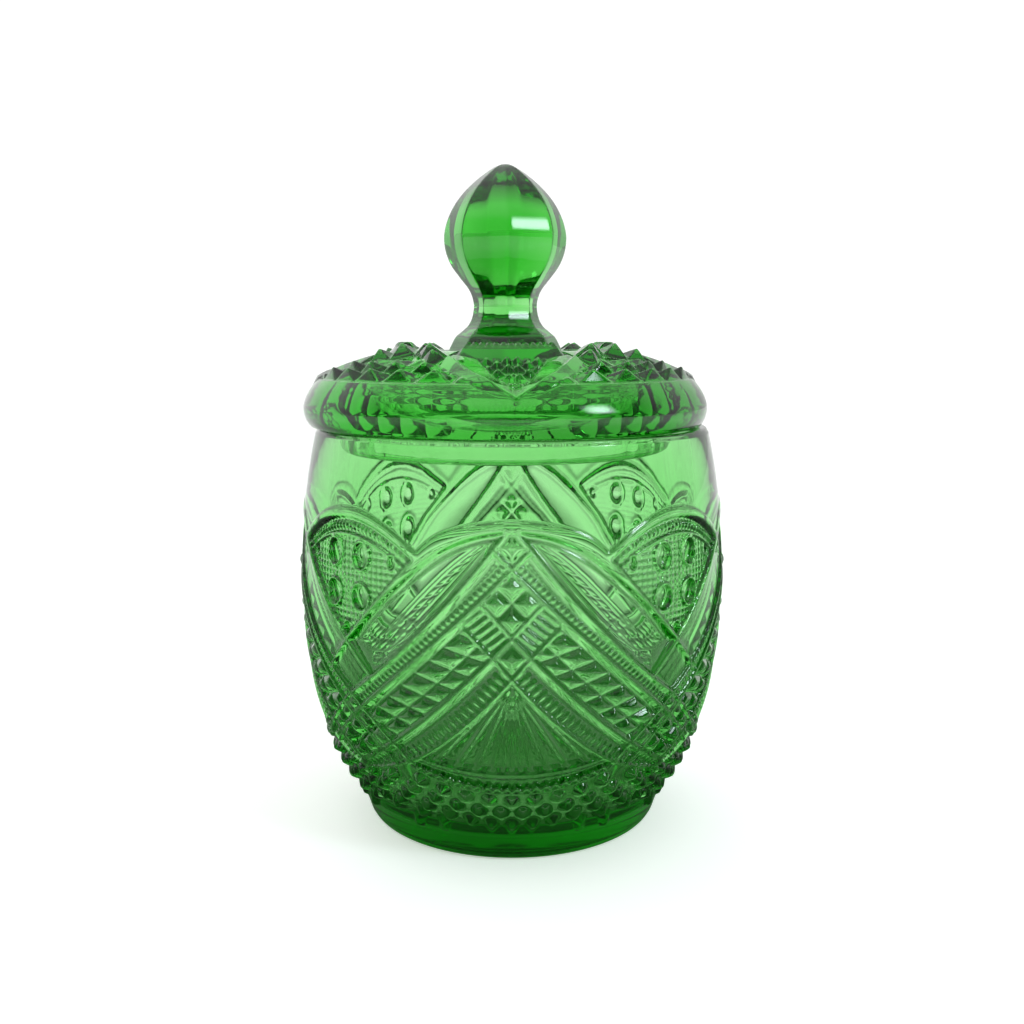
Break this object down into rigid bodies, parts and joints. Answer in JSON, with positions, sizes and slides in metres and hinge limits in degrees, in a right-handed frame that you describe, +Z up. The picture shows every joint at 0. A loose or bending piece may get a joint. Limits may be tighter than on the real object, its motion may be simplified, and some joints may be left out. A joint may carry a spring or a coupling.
{
  "type": "covered candy jar",
  "caption": "Pressed green glass candy jar on a low foot, with a loose domed lid carrying an eight-sided finial; arched relief of pyramids, fans and ribs.",
  "frame": {"origin": "centre of the plane that the foot's ring rests on", "axes": "+Z up the jar's axis, -Y towards the front arch of the relief, +X to its right; the loose lid is set down 1.8 mm towards -X"},
  "size_m": [0.116, 0.116, 0.1778],
  "materials": {
    "green_glass": "fire-polished pressed glass, transparent green"
  },
  "bodies": {
    "jar": {"jar": "green_glass"},
    "lid": {"lid": "green_glass"}
  },
  "joints": [
    {"name": "lid_lift", "type": "slide", "parent": "jar", "child": "lid", "axis": [0, 0, 1], "range_m": [0, 0.08]}
  ]
}
